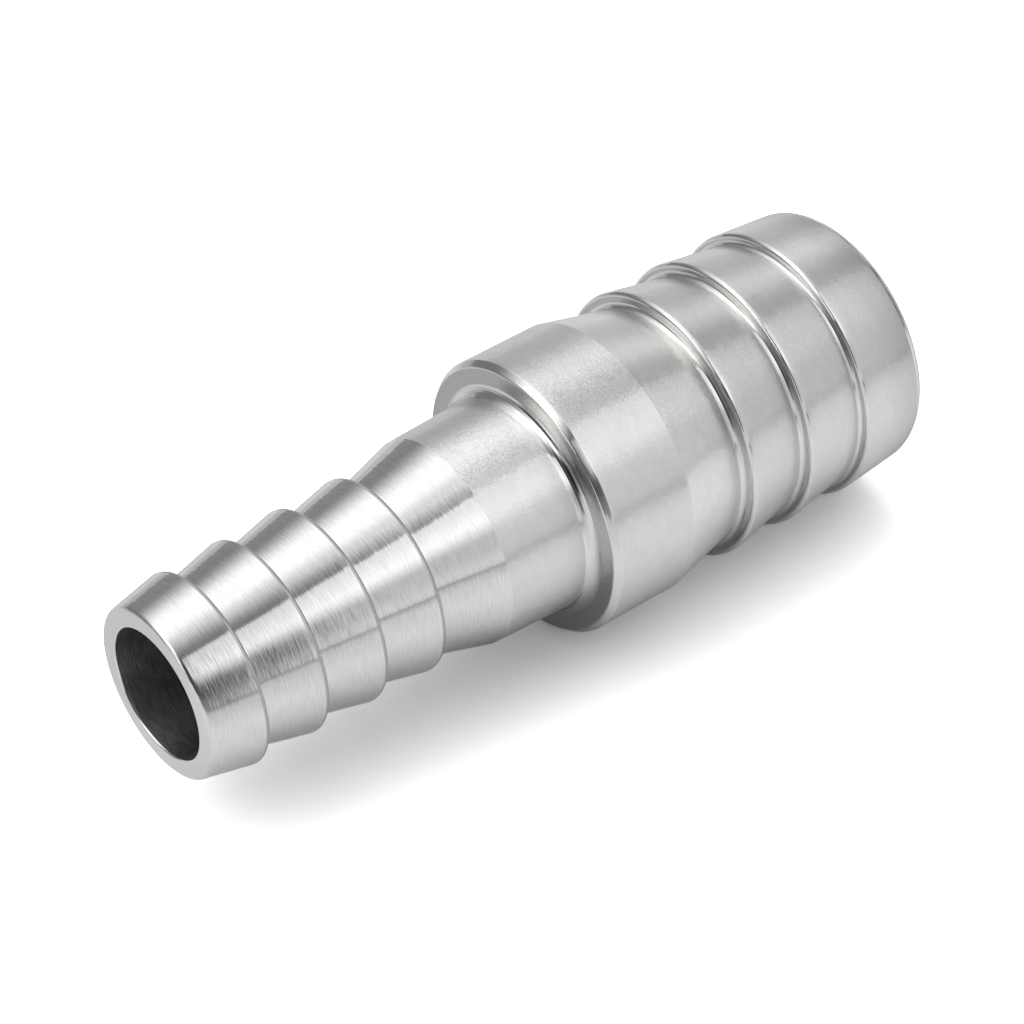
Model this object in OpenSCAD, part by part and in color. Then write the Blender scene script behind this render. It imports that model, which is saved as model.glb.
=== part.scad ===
// Hose barb reducer turned from one bar: four small barbs, a neck, a collar and three large barbs.
// The fitting stands on its large end, with its axis on Z and its origin at the centre of that end.
// Lengths run along the axis from the small end. Diameters of edges are taken before rounding.

/* [Small end] */
// Outside diameter of the face at the small end
tip_d = 13; // [12.4:0.1:13.8]
// Bore through the small end
small_bore_d = 10; // [7:0.1:10.6]
// Rounding of the outside edge at the small end
tip_round = 0.4; // [0.1:0.05:0.6]

/* [Small barbs] */
// Number of small barbs
small_barbs = 4; // [1:1:6]
// Distance from the small end to the first crest
first_barb_len = 4.3; // [3:0.1:7]
// Distance from one small crest to the next
small_pitch = 4.95; // [3.5:0.05:7]
// Diameter of the first small crest
small_crest_d = 14.8; // [14.2:0.1:15.6]
// How much wider each small crest is than the one before it
small_crest_growth = 0.13; // [0:0.01:0.2]
// Diameter of the stem just behind the first small crest
small_root_d = 12.6; // [12:0.1:13.2]
// How much wider the stem is behind each further crest
small_root_growth = 0.17; // [0:0.01:0.2]
// Rounding of the small crests
small_crest_round = 0.3; // [0.05:0.05:0.4]
// Fillet at the foot of the small steps
small_root_fillet = 0.2; // [0.05:0.05:0.3]

/* [Neck] */
// Length of the cone between the last small barb and the neck
neck_cone_len = 5.35; // [3:0.05:8]
// Length of the neck up to the shoulder
neck_len = 7.2; // [5:0.1:12]
// Diameter where the neck begins
neck_d = 16.1; // [15.8:0.1:17]
// Diameter of the neck at the shoulder
neck_foot_d = 16.6; // [16:0.1:17.4]
// Fillet between the neck and the shoulder
neck_fillet = 1; // [0.3:0.1:1.2]

/* [Collar] */
// Diameter of the collar
collar_d = 21.5; // [20.6:0.1:23]
// Length of the straight part of the collar
collar_len = 7.2; // [4:0.1:10]
// Length of the cone that runs down from the collar to the first large step
collar_cone_len = 5.8; // [4:0.1:8]
// Rounding of the shoulder's outside edge
shoulder_round = 0.7; // [0.2:0.1:1]

/* [Large barbs] */
// Number of large barbs
large_barbs = 3; // [1:1:5]
// Distance from one large crest to the next
large_pitch = 5.5; // [4:0.1:8]
// Distance from the last large crest to the large end
last_barb_len = 6.3; // [5:0.1:9]
// Diameter of the large crests
large_crest_d = 21.35; // [20.8:0.05:22.4]
// Diameter at the foot of the first large step
large_root_d = 18.85; // [18.2:0.05:19.4]
// How much wider the foot of each further large step is
large_root_growth = 0.45; // [0:0.05:0.5]
// Rounding of the large crests
large_crest_round = 0.35; // [0.05:0.05:0.5]
// Fillet at the foot of the large steps
large_root_fillet = 0.45; // [0.05:0.05:0.5]

/* [Large end] */
// Diameter that the last cone reaches at the large end
end_d = 20.3; // [20:0.1:20.8]
// Rounding of the outside edge at the large end
end_round = 1.3; // [0.3:0.1:1.6]
// Bore in the large end
large_bore_d = 15.5; // [12:0.1:16]
// Distance from the shoulder down to the inner end of the large bore
large_bore_stop = 4.8; // [3.2:0.1:12]

/* [Bore] */
// Angle across the cone that joins the two bores
bore_cone_angle = 90; // [60:5:120]
// Chamfer at both mouths of the bore
bore_chamfer = 0.1; // [0.05:0.05:0.4]

/* [Hidden] */
turn_facets = 240;
// Straight steps in each round of the section
arc_steps = 8;
// Share of the shorter neighbouring edge that a rounding may use up
edge_share = 0.48;

// Heights above the large end
last_crest_z = last_barb_len;
first_large_z = last_crest_z + (large_barbs - 1) * large_pitch;
collar_low_z = first_large_z + collar_cone_len;
shoulder_z = collar_low_z + collar_len;
neck_z = shoulder_z + neck_len;
last_small_z = neck_z + neck_cone_len;
first_small_z = last_small_z + (small_barbs - 1) * small_pitch;
tip_z = first_small_z + first_barb_len;

// The large bore ends inside the collar, where the wall is thickest, and a cone joins it to the small one.
large_bore_end_z = shoulder_z - large_bore_stop;
bore_cone_len = (large_bore_d - small_bore_d) / 2 / tan(bore_cone_angle / 2);
small_bore_start_z = large_bore_end_z + bore_cone_len;

// Each corner of the section is [radius, height, rounding], round the outline from the large mouth.
bore_corners = [
    [large_bore_d / 2 + bore_chamfer, 0, 0],
    [large_bore_d / 2, bore_chamfer, 0],
    [large_bore_d / 2, large_bore_end_z, 0],
    [small_bore_d / 2, small_bore_start_z, 0],
    [small_bore_d / 2, tip_z - bore_chamfer, 0],
    [small_bore_d / 2 + bore_chamfer, tip_z, 0]
];

// A small barb is a cone that widens from the tip and drops square to the stem.
function small_barb(i) = [
    [(small_crest_d + i * small_crest_growth) / 2, first_small_z - i * small_pitch, small_crest_round],
    [(small_root_d + i * small_root_growth) / 2, first_small_z - i * small_pitch, small_root_fillet]
];

// A large barb is a square step up from its foot and a cone that narrows towards the large end.
function large_barb(i) = [
    [(large_root_d + i * large_root_growth) / 2, first_large_z - i * large_pitch, large_root_fillet],
    [large_crest_d / 2, first_large_z - i * large_pitch, large_crest_round]
];

corners = concat(
    bore_corners,
    [[tip_d / 2, tip_z, tip_round]],
    [for (i = [0 : small_barbs - 1]) each small_barb(i)],
    [
        [neck_d / 2, neck_z, 0],
        [neck_foot_d / 2, shoulder_z, neck_fillet],
        [collar_d / 2, shoulder_z, shoulder_round],
        [collar_d / 2, collar_low_z, 0]
    ],
    [for (i = [0 : large_barbs - 1]) each large_barb(i)],
    [[end_d / 2, 0, end_round]]
);

function unit(v) = v / norm(v);
function turned(v, angle) = [v[0] * cos(angle) - v[1] * sin(angle), v[0] * sin(angle) + v[1] * cos(angle)];
function spot(i) = let (c = corners[i % len(corners)]) [c[0], c[1]];
function to_before(i) = spot(i + len(corners) - 1) - spot(i);
function to_after(i) = spot(i + 1) - spot(i);

// The round at a corner is tangent to both its edges. Its radius is limited by the shorter edge.
function half_angle(i) = acos(unit(to_before(i)) * unit(to_after(i))) / 2;
function shorter_edge(i) = min(norm(to_before(i)), norm(to_after(i)));
function radius(i) = min(corners[i][2], edge_share * shorter_edge(i) * tan(half_angle(i)));
function start(i) = spot(i) + radius(i) / tan(half_angle(i)) * unit(to_before(i));
function centre(i) = spot(i) + radius(i) / sin(half_angle(i)) * unit(unit(to_before(i)) + unit(to_after(i)));
function sweep(i) = sign(cross(to_after(i), to_before(i))) * (180 - 2 * half_angle(i));
function rounded(i) = [
    for (k = [0 : arc_steps])
        centre(i) + turned(start(i) - centre(i), sweep(i) * k / arc_steps)
];

module section() {
    polygon([
        for (i = [0 : len(corners) - 1])
            each (corners[i][2] > 0 ? rounded(i) : [spot(i)])
    ]);
}

module hose_barb_reducer() {
    color([0.68, 0.68, 0.67])
        rotate_extrude($fn = turn_facets) section();
}

hose_barb_reducer();
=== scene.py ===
"""Hose barb reducer: the turned body with its finishes, and the studio that it lies in."""

import math

import bmesh
import bpy
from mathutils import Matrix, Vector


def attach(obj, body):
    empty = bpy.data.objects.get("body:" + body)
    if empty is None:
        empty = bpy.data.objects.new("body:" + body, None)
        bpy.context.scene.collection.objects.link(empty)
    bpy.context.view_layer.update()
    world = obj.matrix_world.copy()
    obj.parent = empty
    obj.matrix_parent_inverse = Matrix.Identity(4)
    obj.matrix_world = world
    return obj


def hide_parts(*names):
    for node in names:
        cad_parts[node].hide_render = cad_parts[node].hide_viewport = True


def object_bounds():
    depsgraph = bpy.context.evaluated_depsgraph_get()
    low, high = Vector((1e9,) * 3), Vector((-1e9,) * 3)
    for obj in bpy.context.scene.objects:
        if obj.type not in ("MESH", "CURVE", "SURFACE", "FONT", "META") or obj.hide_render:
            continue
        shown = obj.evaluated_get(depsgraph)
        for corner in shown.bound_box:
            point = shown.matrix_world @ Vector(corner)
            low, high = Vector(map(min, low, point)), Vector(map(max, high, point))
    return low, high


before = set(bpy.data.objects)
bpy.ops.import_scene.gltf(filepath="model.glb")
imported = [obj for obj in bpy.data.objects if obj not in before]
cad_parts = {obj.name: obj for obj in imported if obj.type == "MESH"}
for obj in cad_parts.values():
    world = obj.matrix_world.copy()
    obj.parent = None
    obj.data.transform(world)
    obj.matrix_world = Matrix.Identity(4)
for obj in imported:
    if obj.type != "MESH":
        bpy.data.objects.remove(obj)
cad_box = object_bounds()

bl_info = {
    "name": "Hose barb reducer",
    "version": (1, 0, 0),
    "blender": (4, 5, 0),
    "location": "3D View > Sidebar > Reducer",
    "description": "Turns a hose barb reducer, finishes it and lays it in a studio",
    "category": "Object",
}

NODE = "hose_barb_reducer"
MM = 0.001

# Places of the finishes in the body's list of materials
TURNED, SATIN, CREST, LIP, STEP, FACED, BORE = range(7)

# Share of the shorter neighbouring edge that a rounding may use up
EDGE_SHARE = 0.48
# A face's lean is how far its normal points along the axis, from -1 to 1. Past these it is flat,
# on a rounding or fillet, on the cone of a small barb, and on the edge of a mouth.
FLAT_LEAN = 0.995
ROUND_LEAN = 0.3
CONE_LEAN = 0.17
MOUTH_LEAN = 0.02
# A face whose normal points towards the axis by more than this is in the bore
INWARD = -1e-9
# How near to an end a flat face lies that is the end's own
END_GAP = 0.1 * MM
# Points of the mesh that are nearer than this are one
SAME_POINT = 0.0002 * MM
# Two faces that meet at more than this angle show an edge
SHARP_ANGLE = math.radians(9)

# The camera's place and its turn in degrees, which give the photo's view of the part
CAMERA_PLACE = (-150.075 * MM, -171.991 * MM, 151.477 * MM)
CAMERA_TURN = (-41.902, 51.273, -179.986)
SENSOR_WIDTH = 36.0
CAMERA_NEAR = 0.01
CAMERA_FAR = 10.0

# The reflector's sheet: its start and its turn round the part, its two ends and its steps
REFLECTOR_START = math.radians(-6)
REFLECTOR_TURN = math.radians(-94)
REFLECTOR_ENDS = (-160 * MM, 80 * MM)
REFLECTOR_STEPS = 32


def length(name, description, default_mm):
    """A length property that is written here in millimetres."""
    return bpy.props.FloatProperty(
        name=name, description=description, default=default_mm * MM, subtype="DISTANCE",
        unit="LENGTH", precision=5)


def angle(name, description, degrees):
    """An angle property that is written here in degrees."""
    return bpy.props.FloatProperty(
        name=name, description=description, default=math.radians(degrees), subtype="ANGLE",
        unit="ROTATION")


def share(name, description, default):
    """A property that runs from 0 to 1."""
    return bpy.props.FloatProperty(
        name=name, description=description, default=default, min=0.0, max=1.0, subtype="FACTOR")


def strength(name, description, default):
    """A brightness, where 1 is white."""
    return bpy.props.FloatProperty(name=name, description=description, default=default, min=0.0)


def grey(name, description, default):
    """A grey, or a colour close to it."""
    return bpy.props.FloatVectorProperty(
        name=name, description=description, default=default, size=3, min=0.0, max=1.0,
        subtype="COLOR")


class TurnedSizes(bpy.types.PropertyGroup):
    """Sizes of the turned body, as in the CAD source but for the edges of mouths and shoulder."""

    tip_d: length("Small end", "Diameter of the face at the small end", 13.0)
    tip_round: length("Small end rounding", "Rounding of the edge at the small end", 0.4)
    small_bore_d: length("Small bore", "Diameter of the bore in the small end", 10.0)
    small_barbs: bpy.props.IntProperty(
        name="Small barbs", description="Number of small barbs", default=4, min=1)
    first_barb_len: length("First barb", "From the small end to the first crest", 4.3)
    small_pitch: length("Small pitch", "From one small crest to the next", 4.95)
    small_crest_d: length("Small crest", "Diameter of the first small crest", 14.8)
    small_crest_growth: length("Small crest growth", "Added to each further small crest", 0.13)
    small_root_d: length("Small stem", "Diameter behind the first small crest", 12.6)
    small_root_growth: length("Small stem growth", "Added behind each further small crest", 0.17)
    small_crest_round: length("Small crest rounding", "Rounding of the small crests", 0.3)
    small_root_fillet: length("Small fillet", "Fillet at the foot of the small steps", 0.2)
    neck_cone_len: length("Neck cone", "From the last small crest to the neck", 5.35)
    neck_len: length("Neck", "Length of the neck", 7.2)
    neck_d: length("Neck start", "Diameter where the neck begins", 16.1)
    neck_foot_d: length("Neck foot", "Diameter of the neck at the shoulder", 16.6)
    neck_fillet: length("Neck fillet", "Fillet between the neck and the shoulder", 1.0)
    collar_d: length("Collar", "Diameter of the collar", 21.5)
    collar_len: length("Collar length", "Length of the straight part of the collar", 7.2)
    collar_cone_len: length("Collar cone", "Length of the cone below the collar", 5.8)
    shoulder_face: length("Shoulder face", "How far the shoulder's edge is cut on its face", 0.37)
    shoulder_side: length("Shoulder side", "How far the shoulder's edge is cut on the collar", 0.5)
    shoulder_round: length("Shoulder rounding", "Rounding of the cut's two edges", 0.2)
    large_barbs: bpy.props.IntProperty(
        name="Large barbs", description="Number of large barbs", default=3, min=1)
    large_pitch: length("Large pitch", "From one large crest to the next", 5.5)
    last_barb_len: length("Last barb", "From the last large crest to the large end", 6.3)
    large_crest_d: length("Large crest", "Diameter of the large crests", 21.35)
    large_root_d: length("Large foot", "Diameter at the foot of the first large step", 18.85)
    large_root_growth: length("Large foot growth", "Added to the foot of each further step", 0.45)
    large_crest_round: length("Large crest rounding", "Rounding of the large crests", 0.35)
    large_root_fillet: length("Large fillet", "Fillet at the foot of the large steps", 0.45)
    end_d: length("Large end", "Diameter that the last cone reaches", 20.3)
    end_round: length("Large end rounding", "Rounding of the edge at the large end", 1.3)
    large_bore_d: length("Large bore", "Diameter of the bore in the large end", 15.5)
    large_bore_stop: length("Large bore stop", "From the shoulder down to the bore's end", 4.8)
    bore_cone_angle: angle("Bore cone", "Angle across the cone between the bores", 90.0)
    bore_chamfer: length("Bore chamfer", "Chamfer at both mouths", 0.1)
    mouth_round: length("Mouth rounding", "Rounding of the chamfer's edges", 0.12)
    facets: bpy.props.IntProperty(
        name="Facets", description="Steps of the full turn", default=240, min=64)
    round_steps: bpy.props.IntProperty(
        name="Round steps", description="Steps in each rounding", default=8, min=2)
    ring_gap: length("Ring gap", "Longest distance between two rings of the mesh", 0.5)


class FinishValues(bpy.types.PropertyGroup):
    """Colours and finishes of the steel."""

    steel: grey("Steel", "Colour of the bare steel", (0.68, 0.675, 0.665))
    # Painted shade: the crests get a darker steel that stands in for the dark reflections of their
    # rounds
    crest_steel_painted_shade: grey("Crest steel", "Colour of the crests, painted darker as shade", (0.47, 0.465, 0.46))
    bore_steel: grey("Bore steel", "Colour of the bore's rough steel, painted darker as shade", (0.5, 0.5, 0.495))
    turned_roughness: share("Turned roughness", "Roughness of the small barbs", 0.16)
    satin_roughness: share("Satin roughness", "Roughness of the duller part of the satin", 0.42)
    clear_roughness: share("Clear roughness", "Roughness of the smoother part of the satin", 0.16)
    clear_share: share("Clear share", "How much of the satin is smoother", 0.3)
    crest_roughness: share("Crest roughness", "Roughness of the small crests", 0.42)
    lip_roughness: share("Lip roughness", "Roughness of the rounds and fillets", 0.12)
    step_roughness: share("Step roughness", "Roughness of the flat steps", 0.16)
    faced_roughness: share("Faced roughness", "Roughness of the flat end faces", 0.26)
    bore_roughness: share("Bore roughness", "Roughness of the bore", 0.35)
    mark_pitch: length("Mark pitch", "Distance between two turning marks", 0.06)
    mark_run: length("Mark run", "How far a turning mark runs round the part", 1.2)
    turned_lean: angle("Turned lean", "How far marks lean the surface along the axis", 11.0)
    turned_twist: angle("Turned twist", "How far marks lean the surface round the axis", 1.2)
    satin_lean: angle("Satin lean", "How far the satin grain leans the surface", 8.0)
    lip_share: share("Lip share", "Share of the satin lean that rounds and fillets have", 0.4)
    step_rings: length("Step rings", "Depth of the rings on the flat steps", 0.005)
    face_rings: length("Face rings", "Depth of the rings on the end faces", 0.002)
    grain: length("Grain", "Size of the fine grain of the satin finish", 0.1)
    cloud: length("Cloud", "Size of the soft clouds in the satin finish", 1.6)
    # Painted light: how much brighter the cone below the collar is painted
    cone_bright: share("Cone bright", "How much brighter the cone below the collar is", 0.1)
    # Painted shade: how bright the satin is painted at the large end
    end_shade: share("End shade", "How bright the satin stays at the large end", 0.78)


class StudioValues(bpy.types.PropertyGroup):
    """Camera, ground card, reflector and lights, with angles counted round the part's axis."""

    focal_length: bpy.props.FloatProperty(
        name="Focal length", description="Focal length in mm", default=126.5625, min=1.0)
    card_size: length("Card size", "Side of the ground card", 700.0)
    card_tint: grey("Card tint", "Faint cool tint of the card", (0.985, 0.985, 1.0))
    card_seen: strength("Card seen", "How much light the card gives back to the camera", 1.9)
    card_white: strength("Card white", "How much light the card gives back to the steel", 1.03)
    # Painted shadow and darkening that the steel sees on the card
    card_far: share("Card far side", "How white the card stays far off beside the small end", 0.68)
    card_contact: share("Card contact", "How white the card stays under the neck", 0.42)
    card_glow: strength("Card glow", "Light of the card's own that the steel sees", 0.04)
    over_light: strength("Over light", "Light from overhead that falls on the card", 0.62)
    fill_light: strength("Fill light", "Even light from all round that falls on the card", 0.2)
    key_light: strength("Key light", "Brightness of the wide softbox", 1.75)
    brim_light: strength("Brim light", "Brightness of the strip past the small end", 1.3)
    room_light: strength("Room light", "Brightness of the room round the small end", 0.14)
    room_seen: strength("Room seen", "Brightness of the room to the camera, white at 1.25", 1.25)
    wall_light: strength("Wall light", "Brightness of the wall beyond the large end", 0.4)
    floor_light: strength("Floor light", "Brightness of the floor beyond the card", 0.82)
    reflector_radius: length("Reflector radius", "From the part's axis to the reflector", 50.0)
    reflector_top: strength("Reflector top", "Brightness of the reflector's upper part", 1.3)
    reflector_gap: strength("Reflector gap", "Brightness above the reflector's upper part", 0.36)
    reflector_low: strength("Reflector low", "Brightness of the reflector's lower part", 0.62)
    reflector_again: share(
        "Reflector again", "How much of the reflector is left in a second reflection", 0.3)


def section_corners(s):
    """Corners of the turned section as radius, height and rounding, from the large mouth round."""
    last_crest = s.last_barb_len
    first_large = last_crest + (s.large_barbs - 1) * s.large_pitch
    collar_low = first_large + s.collar_cone_len
    shoulder = collar_low + s.collar_len
    neck = shoulder + s.neck_len
    last_small = neck + s.neck_cone_len
    first_small = last_small + (s.small_barbs - 1) * s.small_pitch
    tip = first_small + s.first_barb_len
    bore_end = shoulder - s.large_bore_stop
    cone = (s.large_bore_d - s.small_bore_d) / 2 / math.tan(s.bore_cone_angle / 2)
    corners = [
        (s.large_bore_d / 2 + s.bore_chamfer, 0.0, s.mouth_round),
        (s.large_bore_d / 2, s.bore_chamfer, s.mouth_round),
        (s.large_bore_d / 2, bore_end, 0.0),
        (s.small_bore_d / 2, bore_end + cone, 0.0),
        (s.small_bore_d / 2, tip - s.bore_chamfer, s.mouth_round),
        (s.small_bore_d / 2 + s.bore_chamfer, tip, s.mouth_round),
        (s.tip_d / 2, tip, s.tip_round),
    ]
    for i in range(s.small_barbs):
        z = first_small - i * s.small_pitch
        corners.append(((s.small_crest_d + i * s.small_crest_growth) / 2, z, s.small_crest_round))
        corners.append(((s.small_root_d + i * s.small_root_growth) / 2, z, s.small_root_fillet))
    corners += [
        (s.neck_d / 2, neck, 0.0),
        (s.neck_foot_d / 2, shoulder, s.neck_fillet),
        (s.collar_d / 2 - s.shoulder_face, shoulder, s.shoulder_round),
        (s.collar_d / 2, shoulder - s.shoulder_side, s.shoulder_round),
        (s.collar_d / 2, collar_low, 0.0),
    ]
    for i in range(s.large_barbs):
        z = first_large - i * s.large_pitch
        corners.append(((s.large_root_d + i * s.large_root_growth) / 2, z, s.large_root_fillet))
        corners.append((s.large_crest_d / 2, z, s.large_crest_round))
    corners.append((s.end_d / 2, 0.0, s.end_round))
    return corners


def setback(vert, rounding):
    """How far from a corner its rounding starts, within its share of the shorter edge."""
    sides = [edge.other_vert(vert).co - vert.co for edge in vert.link_edges]
    half = sides[0].angle(sides[1]) / 2
    shorter = min(side.length for side in sides)
    return min(rounding / math.tan(half), EDGE_SHARE * shorter)


def turned_section(bm, s):
    """Draws the section as a wire, rounds its corners and cuts its long edges into short ones."""
    corners = section_corners(s)
    verts = [bm.verts.new((radius, 0.0, height)) for radius, height, _ in corners]
    for a, b in zip(verts, verts[1:] + verts[:1]):
        bm.edges.new((a, b))
    cuts = [(vert, setback(vert, corner[2])) for vert, corner in zip(verts, corners) if corner[2]]
    for vert, distance in cuts:
        bmesh.ops.bevel(
            bm, geom=[vert], offset=distance, offset_type="OFFSET", segments=s.round_steps,
            profile=0.5, affect="VERTICES", material=-1)
    bore_radius = s.large_bore_d / 2 + s.bore_chamfer
    for edge in list(bm.edges):
        pieces = math.ceil(edge.calc_length() / s.ring_gap)
        low, high = (vert.co for vert in edge.verts)
        # The two long straight walls of the bore need no rings
        in_bore = low.x <= bore_radius and high.x <= bore_radius
        wall = in_bore and low.z < high.z - s.collar_len
        if pieces > 1 and not wall:
            bmesh.ops.subdivide_edges(bm, edges=[edge], cuts=pieces - 1)


def finish_of(face, s, neck_z):
    """Which finish a face of the turned body has, from where it lies and how it leans."""
    middle = face.calc_center_median()
    radius = math.hypot(middle.x, middle.y)
    height = middle.z
    lean = face.normal.z
    outward = face.normal.x * middle.x + face.normal.y * middle.y
    from_end = min(height, cad_box[1].z - height)
    if abs(lean) > FLAT_LEAN and from_end < END_GAP:
        return FACED
    if outward < INWARD * radius:
        return LIP if abs(lean) > MOUTH_LEAN and from_end < 2 * s.bore_chamfer else BORE
    if height > neck_z:
        return CREST if lean < CONE_LEAN else TURNED
    if abs(lean) > FLAT_LEAN:
        return STEP
    if abs(lean) > ROUND_LEAN:
        return LIP
    return SATIN


def body_mesh(s):
    """Spins the section into a closed body, with its finishes given face by face."""
    bm = bmesh.new()
    turned_section(bm, s)
    wire = bm.verts[:] + bm.edges[:]
    bmesh.ops.spin(
        bm, geom=wire, cent=(0, 0, 0), axis=(0, 0, 1), angle=math.tau, steps=s.facets,
        use_merge=True)
    bmesh.ops.remove_doubles(bm, verts=bm.verts, dist=SAME_POINT)
    bmesh.ops.recalc_face_normals(bm, faces=bm.faces)
    barbs_len = s.first_barb_len + (s.small_barbs - 1) * s.small_pitch
    neck_z = cad_box[1].z - barbs_len - s.neck_cone_len
    for face in bm.faces:
        face.smooth = True
        face.material_index = finish_of(face, s, neck_z)
    for edge in bm.edges:
        edge.smooth = edge.calc_face_angle(0.0) < SHARP_ANGLE
    mesh = bpy.data.meshes.new("turned_body")
    bm.to_mesh(mesh)
    bm.free()
    return mesh


def add_node(tree, kind, inputs=None, **settings):
    """Adds a shader node, with a value or a link for each named input."""
    made = tree.nodes.new(kind)
    for name, value in settings.items():
        setattr(made, name, value)
    for key, value in (inputs or {}).items():
        if isinstance(value, bpy.types.NodeSocket):
            tree.links.new(value, made.inputs[key])
        else:
            made.inputs[key].default_value = value
    return made


def math_node(tree, operation, *values):
    """The result of one sum on values or sockets."""
    made = add_node(tree, "ShaderNodeMath", dict(enumerate(values)), operation=operation)
    return made.outputs[0]


def ramp(tree, value, low, high, at_low, at_high, smooth=True):
    """Maps value from low..high to at_low..at_high, clamped."""
    made = add_node(
        tree, "ShaderNodeMapRange",
        {"Value": value, "From Min": low, "From Max": high, "To Min": at_low, "To Max": at_high},
        interpolation_type="SMOOTHSTEP" if smooth else "LINEAR")
    return made.outputs["Result"]


def ramp_mm(tree, place, start, end, at_start, at_end, smooth=True):
    """A ramp between two places that are given in millimetres."""
    return ramp(tree, place, start * MM, end * MM, at_start, at_end, smooth)


def ramp_degrees(tree, turn, start, end, at_start, at_end, smooth=True):
    """A ramp between two directions round the part's axis that are given in degrees."""
    return ramp(tree, turn, math.radians(start), math.radians(end), at_start, at_end, smooth)


def product(tree, *values):
    """All the values multiplied."""
    result = values[0]
    for value in values[1:]:
        result = math_node(tree, "MULTIPLY", result, value)
    return result


def total(tree, *values):
    """All the values added."""
    result = values[0]
    for value in values[1:]:
        result = math_node(tree, "ADD", result, value)
    return result


def new_material(name):
    """An empty node material and its output node."""
    material = bpy.data.materials.new(name)
    material.use_nodes = True
    material.node_tree.nodes.clear()
    output = material.node_tree.nodes.new("ShaderNodeOutputMaterial")
    return material, material.node_tree, output


def on_part(tree):
    """Place on the part as separate coordinates."""
    place = add_node(tree, "ShaderNodeTexCoord").outputs["Object"]
    return add_node(tree, "ShaderNodeSeparateXYZ", {"Vector": place}).outputs


def noise(tree, size_round, size_along):
    """Noise drawn out round the part's axis, as three unlike shares."""
    place = add_node(tree, "ShaderNodeTexCoord").outputs["Object"]
    drawn = add_node(
        tree, "ShaderNodeMapping",
        {"Vector": place, "Scale": (1 / size_round, 1 / size_round, 1 / size_along)},
    ).outputs["Vector"]
    made = add_node(
        tree, "ShaderNodeTexNoise",
        {"Vector": drawn, "Scale": 1.0, "Detail": 2.0, "Roughness": 0.6})
    return add_node(tree, "ShaderNodeSeparateColor", {"Color": made.outputs["Color"]}).outputs


def shade(tree, pattern, dark, light):
    """A noise pattern turned into a shade. Nearly all of the noise lies between 0.3 and 0.7."""
    return ramp(tree, pattern, 0.3, 0.7, dark, light, smooth=False)


def round_axis(tree):
    """The direction round the part's axis."""
    return add_node(
        tree, "ShaderNodeTangent", direction_type="RADIAL", axis="Z").outputs["Tangent"]


def centred(tree, value, swing):
    """A share from 0 to 1 turned into a swing to both sides of nought."""
    return math_node(tree, "MULTIPLY_ADD", value, 2 * swing, -swing)


def leaned(tree, marks, lean, twist):
    """The surface's own direction, leaned by marks along the part's axis and round it."""
    along = add_node(tree, "ShaderNodeCombineXYZ", {"Z": centred(tree, marks[0], lean)})
    turned = add_node(
        tree, "ShaderNodeVectorMath",
        {0: round_axis(tree), "Scale": centred(tree, marks[1], twist)}, operation="SCALE")
    straight = add_node(tree, "ShaderNodeNewGeometry").outputs["Normal"]
    both = add_node(
        tree, "ShaderNodeVectorMath",
        {0: along.outputs["Vector"], 1: turned.outputs["Vector"]}, operation="ADD")
    whole = add_node(
        tree, "ShaderNodeVectorMath", {0: straight, 1: both.outputs["Vector"]}, operation="ADD")
    return add_node(
        tree, "ShaderNodeVectorMath", {0: whole.outputs["Vector"]},
        operation="NORMALIZE").outputs["Vector"]


def tinted(tree, colour, factor):
    """A colour multiplied by a factor socket."""
    # The colours of a Mix node are its inputs 6 and 7 and its output 2
    mixed = tree.nodes.new("ShaderNodeMix")
    mixed.data_type = "RGBA"
    mixed.blend_type = "MULTIPLY"
    mixed.inputs[0].default_value = 1.0
    mixed.inputs[6].default_value = (*colour, 1.0)
    tree.links.new(factor, mixed.inputs[7])
    return mixed.outputs[2]


def steel(tree, colour, roughness, anisotropy, normal):
    """Bare steel. The highlight is drawn out across the turning marks."""
    inputs = {
        "Base Color": colour, "Metallic": 1.0, "Roughness": roughness,
        "Anisotropic": anisotropy, "Anisotropic Rotation": 0.25, "Normal": normal,
        "Tangent": round_axis(tree),
    }
    return add_node(tree, "ShaderNodeBsdfPrincipled", inputs).outputs["BSDF"]


def turned_finish(f):
    """Bright turned steel of the small barbs: sharp round the part, drawn out along it."""
    material, tree, output = new_material("turned_steel")
    marks = noise(tree, f.mark_run, f.mark_pitch)
    normal = leaned(tree, marks, f.turned_lean, f.turned_twist)
    shaded = tinted(tree, f.steel, shade(tree, marks[2], dark=0.9, light=1.1))
    surface = steel(tree, shaded, f.turned_roughness, 0.7, normal)
    tree.links.new(surface, output.inputs["Surface"])
    return material


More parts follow.
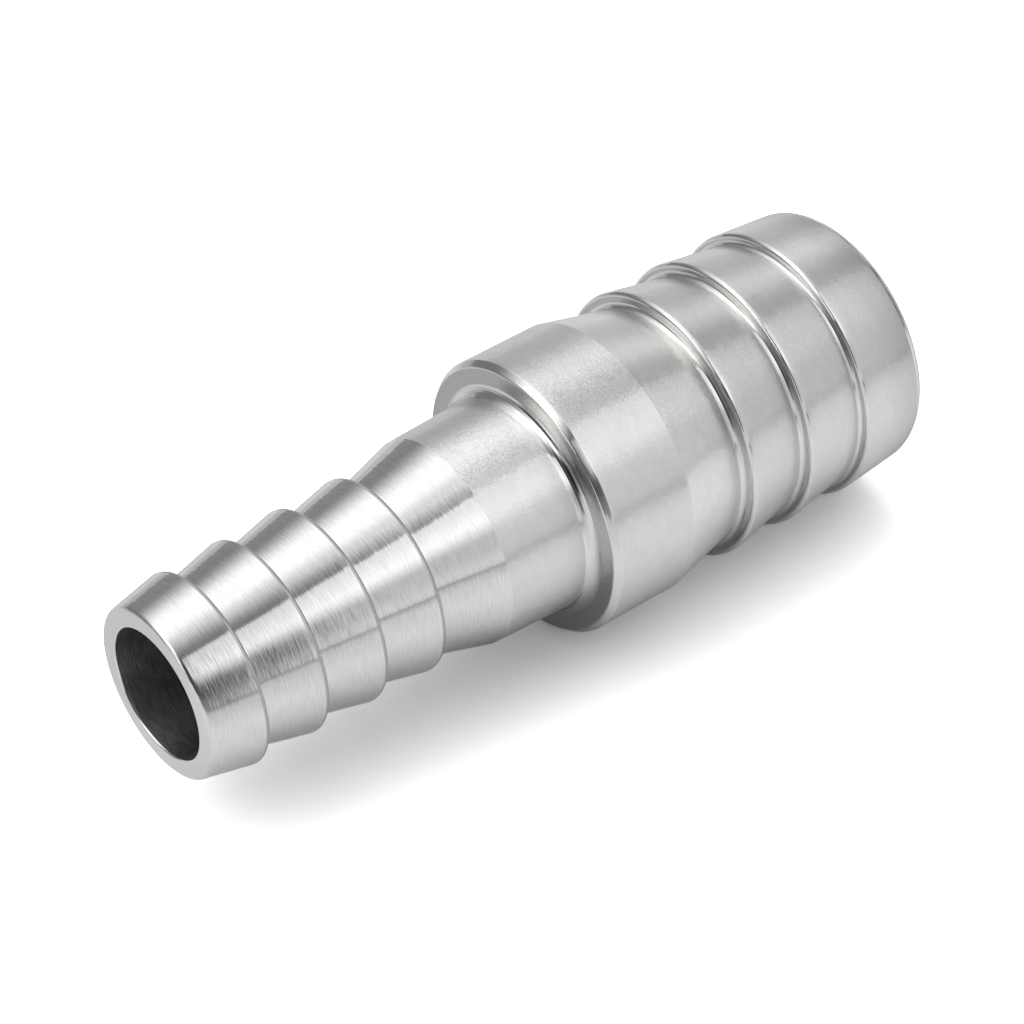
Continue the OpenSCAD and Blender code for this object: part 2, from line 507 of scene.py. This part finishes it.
def satin_finish(f):
    """Fine satin steel of the neck, the collar and the large barbs."""
    material, tree, output = new_material("satin_steel")
    grain = noise(tree, 2 * f.grain, f.grain)
    normal = leaned(tree, grain, f.satin_lean, f.satin_lean)
    clouds = noise(tree, f.cloud, 0.5 * f.cloud)
    height = on_part(tree)["Z"]
    # Painted shade: the satin is painted darker towards the large end, for the dimmer reflections
    # there
    painted_end_shade = ramp_mm(tree, height, 0, 5, f.end_shade, 1.0)
    # Painted light: the cone below the collar is painted brighter, for the brighter reflections it
    # shows
    cone_foot = ramp_mm(tree, height, 17.2, 17.4, 0.0, f.cone_bright)
    cone_top = ramp_mm(tree, height, 23.0, 23.2, 1.0, 0.0)
    brighter_cone = math_node(tree, "ADD", product(tree, cone_foot, cone_top), 1.0)
    tint = product(
        tree, shade(tree, grain[2], dark=0.95, light=1.04),
        shade(tree, clouds[0], dark=0.97, light=1.03), painted_end_shade, brighter_cone)
    shaded = tinted(tree, f.steel, tint)
    soft = steel(tree, shaded, f.satin_roughness, 0.2, normal)
    clear = steel(tree, shaded, f.clear_roughness, 0.6, normal)
    both = add_node(tree, "ShaderNodeMixShader", {"Fac": f.clear_share})
    tree.links.new(soft, both.inputs[1])
    tree.links.new(clear, both.inputs[2])
    tree.links.new(both.outputs["Shader"], output.inputs["Surface"])
    return material


def crest_finish(f):
    """Rounded crests of the small barbs, their steel painted darker as shade for the dark
    reflections of their rounds.
    """
    material, tree, output = new_material("crest_steel_painted_shade")
    marks = noise(tree, f.mark_run, f.mark_pitch)
    # Painted shade: darker steel on the crests, in place of the dark reflections that their rounds
    # show
    shaded = tinted(tree, f.crest_steel_painted_shade, shade(tree, marks[2], dark=0.9, light=1.08))
    normal = leaned(tree, marks, f.satin_lean, f.satin_lean)
    surface = steel(tree, shaded, f.crest_roughness, 0.0, normal)
    tree.links.new(surface, output.inputs["Surface"])
    return material


def lip_finish(f):
    """Bright rounds and fillets."""
    material, tree, output = new_material("lip_steel")
    marks = noise(tree, f.mark_run, f.mark_pitch)
    shaded = tinted(tree, f.steel, shade(tree, marks[2], dark=0.96, light=1.03))
    lean = f.lip_share * f.satin_lean
    normal = leaned(tree, marks, lean, lean)
    surface = steel(tree, shaded, f.lip_roughness, 0.3, normal)
    tree.links.new(surface, output.inputs["Surface"])
    return material


def ring_marks(tree, pitch):
    """Fine rings round the axis on a flat face."""
    place = on_part(tree)
    x_squared = math_node(tree, "MULTIPLY", place["X"], place["X"])
    y_squared = math_node(tree, "MULTIPLY", place["Y"], place["Y"])
    radius = math_node(tree, "SQRT", math_node(tree, "ADD", x_squared, y_squared))
    return add_node(
        tree, "ShaderNodeTexNoise",
        {"W": math_node(tree, "DIVIDE", radius, pitch), "Scale": 1.0, "Detail": 2.0},
        noise_dimensions="1D").outputs["Fac"]


def ring_bump(tree, rings, depth):
    """The lean that rings of one depth give a flat face."""
    return add_node(
        tree, "ShaderNodeBump", {"Height": rings, "Strength": 1.0, "Distance": depth},
    ).outputs["Normal"]


def step_finish(f):
    """Flat steps with rings, which draw the light out from the axis."""
    material, tree, output = new_material("step_steel")
    rings = ring_marks(tree, f.mark_pitch)
    shaded = tinted(tree, f.steel, shade(tree, rings, dark=0.8, light=1.08))
    surface = steel(tree, shaded, f.step_roughness, 0.6, ring_bump(tree, rings, f.step_rings))
    tree.links.new(surface, output.inputs["Surface"])
    return material


def faced_finish(f):
    """Flat faces at the ends, with fine rings round the axis."""
    material, tree, output = new_material("faced_steel")
    rings = ring_marks(tree, f.mark_pitch)
    shaded = tinted(tree, f.steel, shade(tree, rings, dark=0.95, light=1.03))
    surface = steel(tree, shaded, f.faced_roughness, 0.0, ring_bump(tree, rings, f.face_rings))
    tree.links.new(surface, output.inputs["Surface"])
    return material


def bore_finish(f):
    """Bore with fine turning marks, its steel painted darker as shade in the hole."""
    material, tree, output = new_material("bore_steel")
    marks = noise(tree, f.mark_run, 1.5 * f.mark_pitch)
    # Painted shade: the bore's steel is darker than the outside, for the shade in the hole; its
    # roughness is real
    shaded = tinted(tree, f.bore_steel, shade(tree, marks[2], dark=0.7, light=1.2))
    normal = leaned(tree, marks, f.turned_lean, f.turned_twist)
    surface = steel(tree, shaded, f.bore_roughness, 0.4, normal)
    tree.links.new(surface, output.inputs["Surface"])
    return material


class REDUCER_OT_turn_body(bpy.types.Operator):
    """Turn the body from its sizes and give it its finishes"""

    bl_idname = "reducer.turn_body"
    bl_label = "Turn the body"

    def execute(self, context):
        """Makes the one piece, which stands for the CAD node and rides on its body."""
        sizes = context.scene.reducer_sizes
        finishes = context.scene.reducer_finishes
        body = bpy.data.objects.new("turned_body", body_mesh(sizes))
        context.scene.collection.objects.link(body)
        makers = {
            TURNED: turned_finish, SATIN: satin_finish, CREST: crest_finish, LIP: lip_finish,
            STEP: step_finish, FACED: faced_finish, BORE: bore_finish,
        }
        for index in sorted(makers):
            body.data.materials.append(makers[index](finishes))
        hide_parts(NODE)
        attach(body, "root")
        return {"FINISHED"}


def card_painted_shade(tree, place, values):
    """Painted shadow and light on the card, as the steel sees it: painted shadow under and beside
    the part, painted light under the large barbs, and painted darkening far off. The part lies
    over X = 0.
    """
    side = place["X"]
    along = place["Z"]
    # Painted shadow under the part: deepest under the neck, also at the large end and towards the
    # tip; painted light under the large barbs
    to_neck = ramp_mm(tree, along, 32, 42, values.card_contact, 1.06)
    to_tip = ramp_mm(tree, along, 45, 58, 1.0, 0.9)
    to_large_barbs = ramp_mm(tree, along, 12, 27, 1.5, 1.0)
    to_large_end = ramp_mm(tree, along, -6, 4, 0.75, 1.0)
    contact = product(tree, to_neck, to_tip, to_large_barbs, to_large_end)
    # Painted shadow directly under the part, and on its side away from the camera
    under_part = product(
        tree, ramp_mm(tree, side, -13, -4, 1.0, contact), ramp_mm(tree, side, 3, 14, 1.0, 0.0))
    shaded = ramp_mm(tree, along, 52, 66, 0.54, 0.8)
    behind_part = product(
        tree, ramp_mm(tree, side, 3, 14, 0.0, 1.0), ramp_mm(tree, side, 26, 40, shaded, 0.8))
    under = total(tree, under_part, behind_part)
    # Painted darkening and lightening of the card far off, on the side away from the camera
    darkest = ramp_mm(tree, along, -60, 15, 1.25, values.card_far, smooth=False)
    far = ramp_mm(tree, side, 40, 110, 1.0, darkest)
    # A painted darker band on the camera's side beside the small barbs, and a painted dimming far
    # off
    darker_band = product(
        tree, ramp_mm(tree, side, -24, -60, 0.0, 0.13), ramp_mm(tree, along, 33, 42, 0.0, 1.0))
    near = product(
        tree, ramp_mm(tree, side, -150, -60, 0.88, 1.0),
        math_node(tree, "SUBTRACT", 1.0, darker_band))
    return product(tree, under, far, near, values.card_white)


def card_material(values):
    """White card that keeps the part's shadow, and lets light through from behind. For the steel
    its colour also carries painted shadow and light.
    """
    material, tree, output = new_material("ground_card")
    seen = add_node(tree, "ShaderNodeLightPath").outputs["Is Camera Ray"]
    place = on_part(tree)
    # For the steel the card carries painted shadow and light; the camera sees card_seen instead
    given = card_painted_shade(tree, place, values)
    extra = math_node(tree, "SUBTRACT", values.card_seen, given)
    white = math_node(tree, "MULTIPLY_ADD", seen, extra, given)
    paper = add_node(
        tree, "ShaderNodeBsdfDiffuse", {"Color": tinted(tree, values.card_tint, white)})
    unseen = math_node(tree, "SUBTRACT", 1.0, seen)
    to_large_end = ramp_mm(tree, place["Z"], 44, 30, 0.0, values.card_glow)
    glow = add_node(
        tree, "ShaderNodeEmission", {"Strength": product(tree, unseen, to_large_end)})
    front = add_node(tree, "ShaderNodeAddShader")
    tree.links.new(paper.outputs["BSDF"], front.inputs[0])
    tree.links.new(glow.outputs["Emission"], front.inputs[1])
    behind = add_node(tree, "ShaderNodeBsdfTransparent")
    sides = add_node(tree, "ShaderNodeMixShader")
    back = add_node(tree, "ShaderNodeNewGeometry").outputs["Backfacing"]
    tree.links.new(back, sides.inputs["Fac"])
    tree.links.new(front.outputs["Shader"], sides.inputs[1])
    tree.links.new(behind.outputs["BSDF"], sides.inputs[2])
    tree.links.new(sides.outputs["Shader"], output.inputs["Surface"])
    return material


def lay_card(scene, values, height):
    """The ground that the part lies on in the photo: a card square to +Y, touching the collar."""
    bm = bmesh.new()
    bmesh.ops.create_grid(bm, x_segments=1, y_segments=1, size=values.card_size / 2)
    for vert in bm.verts:
        vert.co = (vert.co.x, height, vert.co.y + cad_box[1].z / 2)
    bmesh.ops.recalc_face_normals(bm, faces=bm.faces)
    for face in bm.faces:
        if face.normal.y > 0:
            face.normal_flip()
    mesh = bpy.data.meshes.new("ground_card")
    bm.to_mesh(mesh)
    bm.free()
    card = bpy.data.objects.new("ground_card", mesh)
    card.data.materials.append(card_material(values))
    scene.collection.objects.link(card)


def softbox(tree, turn, start, full, fade, end):
    """Share of light between angles: it starts at one, is full at the next, fades and ends."""
    rise = ramp_degrees(tree, turn, start, full, 0.0, 1.0)
    fall = ramp_degrees(tree, turn, fade, end, 1.0, 0.0)
    return math_node(tree, "MULTIPLY", rise, fall)


def by_bounce(tree, first, later):
    """One value for the first surface that a ray from the camera meets, and one for later ones."""
    depth = add_node(tree, "ShaderNodeLightPath").outputs["Ray Depth"]
    return ramp(tree, depth, 1.4, 1.6, first, later)


def upper_light(tree, turn, along, values):
    """The reflector's bright upper part, which starts lower beside the small end."""
    start = ramp_mm(
        tree, along, -50, 56, math.radians(3), math.radians(20.4), smooth=False)
    past = math_node(tree, "SUBTRACT", turn, start)
    longer = ramp_mm(tree, along, -50, 45, math.radians(6), math.radians(-4), smooth=False)
    rise = ramp_degrees(tree, past, 0, 1, 0.0, 1.0)
    fall = ramp_degrees(tree, math_node(tree, "SUBTRACT", past, longer), 24, 42, 1.0, 0.0)
    at_start = ramp_mm(tree, along, -50, 40, 0.92, 0.72, smooth=False)
    growth = ramp_degrees(tree, past, 1, 20, at_start, 1.0, smooth=False)
    to_neck = ramp_mm(tree, along, -60, 40, 0.27, 1.04, smooth=False)
    to_tip = ramp_mm(tree, along, 46, 60, 1.0, 0.84, smooth=False)
    past_tip = ramp_mm(tree, along, 62, 76, 1.0, 0.0)
    return product(tree, rise, fall, growth, to_neck, to_tip, past_tip, values.reflector_top)


def gap_light(tree, turn, along, values):
    """Weak light above the reflector's upper part."""
    band = softbox(tree, turn, -5, 6, 14, 24)
    from_large_end = ramp_mm(tree, along, -10, 40, 0.0, 1.0)
    to_barbs = ramp_mm(tree, along, 39, 46, 1.4, 0.65, smooth=False)
    to_tip = ramp_mm(tree, along, 46, 54, 1.0, 0.6, smooth=False)
    return product(tree, band, from_large_end, to_barbs, to_tip, values.reflector_gap)


def lower_light(tree, turn, along, values):
    """The reflector's softer lower part, which stops short beside the small end."""
    shift = ramp_mm(tree, along, 12, 42, math.radians(-3), math.radians(0.8), smooth=False)
    band = softbox(tree, math_node(tree, "SUBTRACT", turn, shift), 36, 54, 82.6, 83.4)
    to_tip = ramp_mm(tree, along, 63, 49, 0.0, 1.0, smooth=False)
    to_neck = ramp_mm(tree, along, -60, 40, 0.5, 1.0, smooth=False)
    return product(tree, band, to_tip, to_neck, values.reflector_low)


def reflector_material(values):
    """Light of the curved reflector, over a clear sheet."""
    material, tree, output = new_material("reflector")
    place = on_part(tree)
    along = place["Z"]
    turn = math_node(
        tree, "ARCTAN2", math_node(tree, "MULTIPLY", place["X"], -1.0),
        math_node(tree, "MULTIPLY", place["Y"], -1.0))
    given = total(
        tree, upper_light(tree, turn, along, values), gap_light(tree, turn, along, values),
        lower_light(tree, turn, along, values))
    again = by_bounce(tree, 1.0, values.reflector_again)
    light = add_node(tree, "ShaderNodeEmission", {"Strength": product(tree, given, again)})
    clear = add_node(tree, "ShaderNodeBsdfTransparent")
    both = add_node(tree, "ShaderNodeAddShader")
    tree.links.new(light.outputs["Emission"], both.inputs[0])
    tree.links.new(clear.outputs["BSDF"], both.inputs[1])
    tree.links.new(both.outputs["Shader"], output.inputs["Surface"])
    material.cycles.emission_sampling = "NONE"
    return material


def hang_reflector(scene, values):
    """A curved sheet beside the part, on the camera's side, that only the steel sees."""
    bm = bmesh.new()
    x = -values.reflector_radius * math.sin(REFLECTOR_START)
    y = -values.reflector_radius * math.cos(REFLECTOR_START)
    bm.edges.new([bm.verts.new((x, y, height)) for height in REFLECTOR_ENDS])
    bmesh.ops.spin(
        bm, geom=bm.verts[:] + bm.edges[:], cent=(0, 0, 0), axis=(0, 0, 1),
        angle=REFLECTOR_TURN, steps=REFLECTOR_STEPS)
    mesh = bpy.data.meshes.new("reflector")
    bm.to_mesh(mesh)
    bm.free()
    sheet = bpy.data.objects.new("reflector", mesh)
    sheet.data.materials.append(reflector_material(values))
    sheet.visible_camera = False
    sheet.visible_diffuse = False
    sheet.visible_shadow = False
    scene.collection.objects.link(sheet)


def key_light(tree, turn, along, values):
    """The wide softbox over the lying part. Each factor is named for what mirrors its light."""
    early = ramp(tree, along, -0.36, -0.2, math.radians(0.5), math.radians(1.8))
    rise = ramp_degrees(tree, math_node(tree, "ADD", early, turn), -72, -28, 0.0, 1.0)
    drift = total(
        tree, ramp(tree, along, -0.40, -0.475, math.radians(2), math.radians(22.5)),
        ramp(tree, along, -0.48, -0.58, 0.0, math.radians(8)))
    fall = ramp_degrees(tree, math_node(tree, "ADD", drift, turn), -19, 18, 1.0, 0.0)
    in_neck = ramp(tree, along, -0.49, -0.40, 0.5, 1.22)
    in_large_barbs = ramp(tree, along, -0.57, -0.49, 1.52, 1.0)
    in_small_cones = ramp(tree, along, -0.32, -0.18, 1.0, 0.83)
    in_rounds = ramp(tree, along, 0.4, 0.65, 1.0, 1.5)
    return product(
        tree, rise, fall, in_neck, in_large_barbs, in_small_cones, in_rounds, values.key_light)


def brim_light(tree, turn, along, values):
    """A strip of light past the small end, which is seen in the first reflection alone."""
    band = softbox(tree, turn, 8, 14, 56, 68)
    start = ramp(tree, along, 0.18, 0.3, 0.0, 1.0)
    end = ramp(tree, along, 0.64, 0.76, 1.0, 0.0)
    mirrored = add_node(tree, "ShaderNodeLightPath").outputs["Is Glossy Ray"]
    first = by_bounce(tree, 1.0, 0.0)
    return product(tree, band, start, end, mirrored, first, values.brim_light)


def room_light(tree, turn, along, values):
    """The dim room, with a pale wall past the large end and paler places near the ground."""
    room = ramp(tree, along, -0.5, 0.0, values.wall_light, values.room_light, smooth=False)
    far_wall = product(
        tree, ramp_degrees(tree, turn, -55, -90, 0.0, 1.0),
        ramp(tree, along, -0.2, -0.6, 0.0, 0.46))
    far_ground = product(
        tree, ramp_degrees(tree, turn, -50, -75, 0.0, 0.16),
        ramp(tree, along, -0.4, -0.2, 0.0, 1.0))
    near_ground = product(
        tree, ramp_degrees(tree, turn, 66, 82, 0.0, 0.2),
        ramp(tree, along, -0.3, -0.12, 0.0, 1.0))
    past_tip = ramp(tree, along, 0.7, 0.92, 1.0, 0.15)
    return product(tree, total(tree, room, far_wall, far_ground, near_ground), past_tip)


def floor_light(tree, side, along, values):
    """The pale floor beyond the card."""
    far_side = ramp(tree, along, -0.6, -0.15, 0.85, 0.42)
    return product(tree, ramp(tree, side, -0.6, 0.2, far_side, 1.0), values.floor_light)


def light_studio(scene, values):
    """The room and its lights, as directions: along is 1 past the small end, -1 past the large."""
    world = bpy.data.worlds.new("studio")
    scene.world = world
    world.use_nodes = True
    tree = world.node_tree
    tree.nodes.clear()
    output = tree.nodes.new("ShaderNodeOutputWorld")
    ray = add_node(tree, "ShaderNodeTexCoord").outputs["Generated"]
    parts = add_node(tree, "ShaderNodeSeparateXYZ", {"Vector": ray}).outputs
    along = parts["Z"]
    up = math_node(tree, "MULTIPLY", parts["Y"], -1.0)
    side = math_node(tree, "MULTIPLY", parts["X"], -1.0)
    turn = math_node(tree, "ARCTAN2", side, up)
    lights = total(
        tree, key_light(tree, turn, along, values), brim_light(tree, turn, along, values),
        room_light(tree, turn, along, values))
    above = product(tree, lights, ramp(tree, along, -0.95, -0.8, 0.5, 1.0))
    horizon = ramp(tree, along, -0.5, -0.2, 0.045, 0.0, smooth=False)
    split = ramp(tree, math_node(tree, "ADD", up, horizon), 0.012, 0.035, 0.0, 1.0)
    low = product(
        tree, floor_light(tree, side, along, values), math_node(tree, "SUBTRACT", 1.0, split))
    mirrored = math_node(tree, "MULTIPLY_ADD", above, split, low)
    overhead = product(tree, softbox(tree, turn, -34, -10, 12, 36), values.over_light)
    on_card = total(tree, overhead, values.fill_light)
    path = add_node(tree, "ShaderNodeLightPath").outputs
    studio = math_node(tree, "MULTIPLY_ADD", path["Is Diffuse Ray"], on_card, mirrored)
    seen = path["Is Camera Ray"]
    kept = math_node(tree, "MULTIPLY", studio, math_node(tree, "SUBTRACT", 1.0, seen))
    light = add_node(
        tree, "ShaderNodeBackground",
        {"Strength": math_node(tree, "MULTIPLY_ADD", seen, values.room_seen, kept)})
    tree.links.new(light.outputs["Background"], output.inputs["Surface"])


def place_camera(scene, values):
    """The photo's own view of the part."""
    data = bpy.data.cameras.new("photo_view")
    data.lens = values.focal_length
    data.sensor_width = SENSOR_WIDTH
    data.clip_start = CAMERA_NEAR
    data.clip_end = CAMERA_FAR
    camera = bpy.data.objects.new("photo_view", data)
    camera.location = CAMERA_PLACE
    camera.rotation_euler = [math.radians(degrees) for degrees in CAMERA_TURN]
    scene.collection.objects.link(camera)
    scene.camera = camera


class REDUCER_OT_set_stage(bpy.types.Operator):
    """Lay the ground card, hang the reflector, light the studio and place the camera"""

    bl_idname = "reducer.set_stage"
    bl_label = "Set the stage"

    def execute(self, context):
        """Makes the stage round the part as it stands in the frame."""
        scene = context.scene
        values = scene.reducer_studio
        scene.view_settings.view_transform = "Standard"
        lay_card(scene, values, scene.reducer_sizes.collar_d / 2)
        hang_reflector(scene, values)
        light_studio(scene, values)
        place_camera(scene, values)
        return {"FINISHED"}


class REDUCER_PT_panel(bpy.types.Panel):
    """Sizes, finishes and studio of the reducer"""

    bl_idname = "REDUCER_PT_panel"
    bl_label = "Hose barb reducer"
    bl_space_type = "VIEW_3D"
    bl_region_type = "UI"
    bl_category = "Reducer"

    def draw(self, context):
        """Lists all the values and the two operators."""
        layout = self.layout
        scene = context.scene
        for group in (scene.reducer_sizes, scene.reducer_finishes, scene.reducer_studio):
            box = layout.box()
            for name in group.__annotations__:
                box.prop(group, name)
        layout.operator(REDUCER_OT_turn_body.bl_idname)
        layout.operator(REDUCER_OT_set_stage.bl_idname)


CLASSES = (
    TurnedSizes, FinishValues, StudioValues, REDUCER_OT_turn_body, REDUCER_OT_set_stage,
    REDUCER_PT_panel,
)


def register():
    """Registers the classes and hangs the three groups of values on the scene."""
    for made in CLASSES:
        bpy.utils.register_class(made)
    bpy.types.Scene.reducer_sizes = bpy.props.PointerProperty(type=TurnedSizes)
    bpy.types.Scene.reducer_finishes = bpy.props.PointerProperty(type=FinishValues)
    bpy.types.Scene.reducer_studio = bpy.props.PointerProperty(type=StudioValues)


def unregister():
    """Takes back what register did."""
    del bpy.types.Scene.reducer_studio
    del bpy.types.Scene.reducer_finishes
    del bpy.types.Scene.reducer_sizes
    for made in reversed(CLASSES):
        bpy.utils.unregister_class(made)


def main():
    register()
    bpy.ops.reducer.turn_body()
    bpy.ops.reducer.set_stage()


if __name__ == "__main__":
    main()
